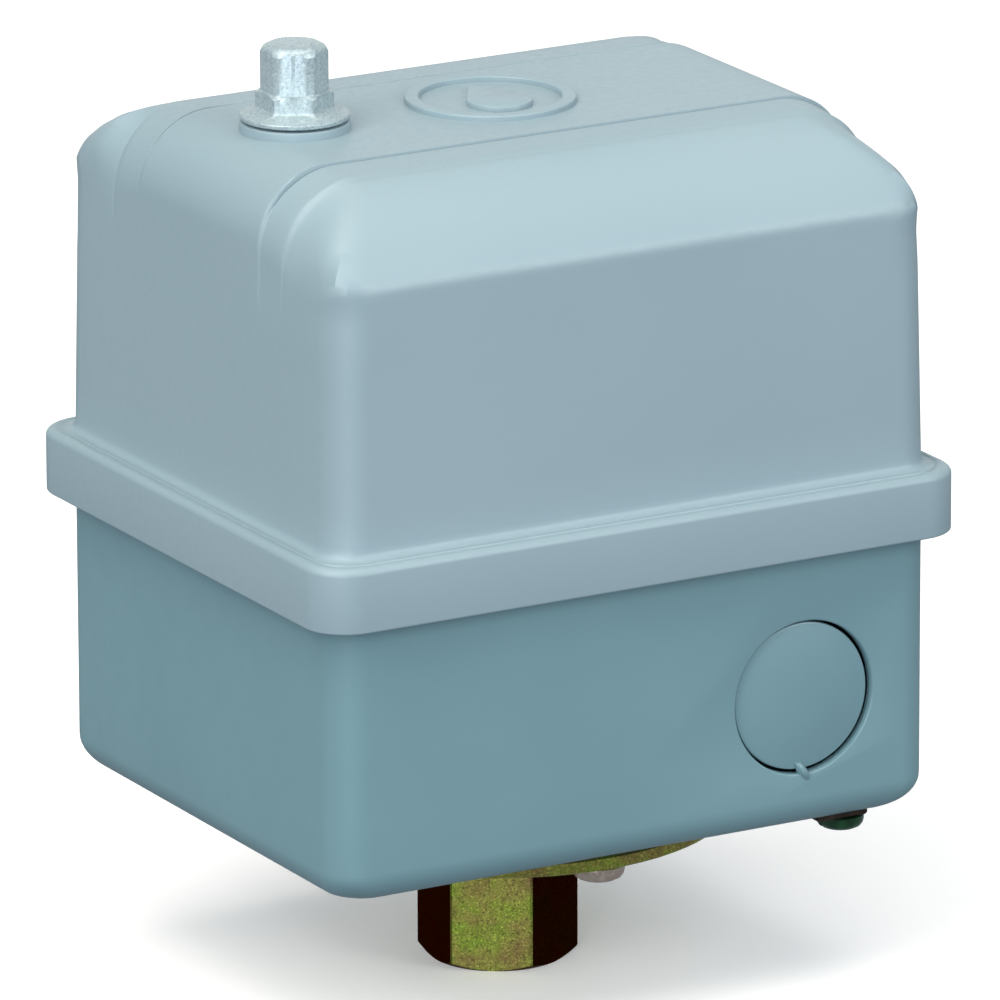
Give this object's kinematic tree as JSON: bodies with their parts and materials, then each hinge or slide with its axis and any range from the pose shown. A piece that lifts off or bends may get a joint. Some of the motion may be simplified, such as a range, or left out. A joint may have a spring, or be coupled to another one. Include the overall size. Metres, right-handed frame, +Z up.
{
  "type": "pressure switch",
  "caption": "Pump pressure switch: steel pan with knockouts, lift-off cover held by a nut, hex pressure port underneath, and an adjustable lever, spring and contact mechanism inside.",
  "frame": {"origin": "centre of the pressure port's open bottom end", "axes": "+Z up, along the port's axis and into the switch; +X along the wide front, towards the conduit knockout; -Y out of the front wall"},
  "size_m": [0.1018, 0.0868, 0.1363],
  "materials": {
    "painted_pan": "smooth satin blue-grey paint on sheet steel",
    "cover_grey": "satin blue-grey moulded plastic",
    "bright_zinc": "bright zinc plate",
    "yellow_zinc": "yellow iridescent chromate over zinc",
    "green_screw": "dark green dyed plate",
    "dark_bronze": "dark brown bronze finish",
    "black_rubber": "matt moulded rubber with fabric inside",
    "spring_steel": "drawn spring wire",
    "dark_phenolic": "dark moulded phenolic",
    "brass": "plain turned brass"
  },
  "bodies": {
    "case": {"base_pan": "painted_pan", "ground_screw": "green_screw", "ground_clamp": "dark_bronze", "port_hex_fitting": "yellow_zinc", "diaphragm_flange": "yellow_zinc", "diaphragm": "black_rubber", "flange_screw_1": "brass", "flange_screw_2": "brass", "flange_screw_3": "brass", "flange_screw_4": "brass", "flange_screw_5": "brass", "flange_screw_6": "brass", "mechanism_frame": "bright_zinc", "lever_pivot_pin": "spring_steel", "lever_pin_clip": "spring_steel", "range_stud": "bright_zinc", "range_spring": "spring_steel", "differential_stud": "bright_zinc", "differential_spring": "spring_steel", "carrier_pivot_pin": "spring_steel", "carrier_pin_clip": "spring_steel", "snap_spring": "spring_steel", "terminal_block": "dark_phenolic", "block_screw_1": "bright_zinc", "block_screw_2": "bright_zinc", "terminal_plate_1": "brass", "terminal_clamp_1": "bright_zinc", "terminal_screw_1": "brass", "terminal_plate_2": "brass", "terminal_clamp_2": "bright_zinc", "terminal_screw_2": "brass", "terminal_plate_3": "brass", "terminal_clamp_3": "bright_zinc", "terminal_screw_3": "brass", "terminal_plate_4": "brass", "terminal_clamp_4": "bright_zinc", "terminal_screw_4": "brass"},
    "cover": {"cover": "cover_grey"},
    "cover_nut": {"cover_nut": "bright_zinc"},
    "pressure_plate": {"pressure_plate": "bright_zinc"},
    "lever": {"operating_lever": "bright_zinc", "range_spring_lower_seat": "bright_zinc", "differential_spring_lower_seat": "bright_zinc"},
    "carrier": {"contact_carrier": "dark_phenolic", "contact_bridge_1": "brass", "contact_bridge_2": "brass"},
    "range_seat": {"range_spring_upper_seat": "bright_zinc"},
    "range_nut": {"range_nut": "bright_zinc"},
    "differential_seat": {"differential_spring_upper_seat": "bright_zinc"},
    "differential_nut": {"differential_nut": "bright_zinc"}
  },
  "joints": [
    {"name": "cover_lift", "type": "slide", "parent": "case", "child": "cover", "axis": [0, 0, 1], "range_m": [0, 0.075]},
    {"name": "cover_nut_turn", "type": "hinge", "parent": "cover", "child": "cover_nut", "pos_m": [-0.0308, 0.0016, 0.1256], "axis": [0, 0, 1], "continuous": true},
    {"name": "plate_lift", "type": "slide", "parent": "case", "child": "pressure_plate", "axis": [0, 0, 1], "range_m": [0, 0.0015], "stiffness_N_per_m": 2000, "springref_m": -0.005},
    {"name": "lever_tilt", "type": "hinge", "parent": "case", "child": "lever", "pos_m": [0.022, 0, 0.0503], "axis": [0, 1, 0], "range_deg": [0, 3.92], "deforming": ["range_spring", "differential_spring"]},
    {"name": "carrier_swing", "type": "hinge", "parent": "case", "child": "carrier", "pos_m": [0.014, 0, 0.056], "axis": [0, 1, 0], "range_deg": [0, 6.4], "deforming": ["snap_spring"]},
    {"name": "range_seat_drop", "type": "slide", "parent": "case", "child": "range_seat", "axis": [0, 0, -1], "range_m": [0, 0.00762]},
    {"name": "range_nut_turn", "type": "hinge", "parent": "range_seat", "child": "range_nut", "pos_m": [-0.0308, 0.0016, 0.0978], "axis": [0, 0, -1], "range_deg": [0, 2160]},
    {"name": "differential_seat_drop", "type": "slide", "parent": "case", "child": "differential_seat", "axis": [0, 0, -1], "range_m": [0, 0.00476]},
    {"name": "differential_nut_turn", "type": "hinge", "parent": "differential_seat", "child": "differential_nut", "pos_m": [-0.033, -0.018, 0.0798], "axis": [0, 0, -1], "range_deg": [0, 2160]}
  ],
  "couplings": [
    {"joint": "lever_tilt", "follows": "plate_lift", "rad_per_m": 45.455},
    {"joint": "carrier_swing", "follows": "plate_lift", "rad_per_m": 74.074},
    {"joint": "range_nut_turn", "follows": "range_seat_drop", "rad_per_m": 4947.4},
    {"joint": "differential_nut_turn", "follows": "differential_seat_drop", "rad_per_m": 7915.8}
  ]
}
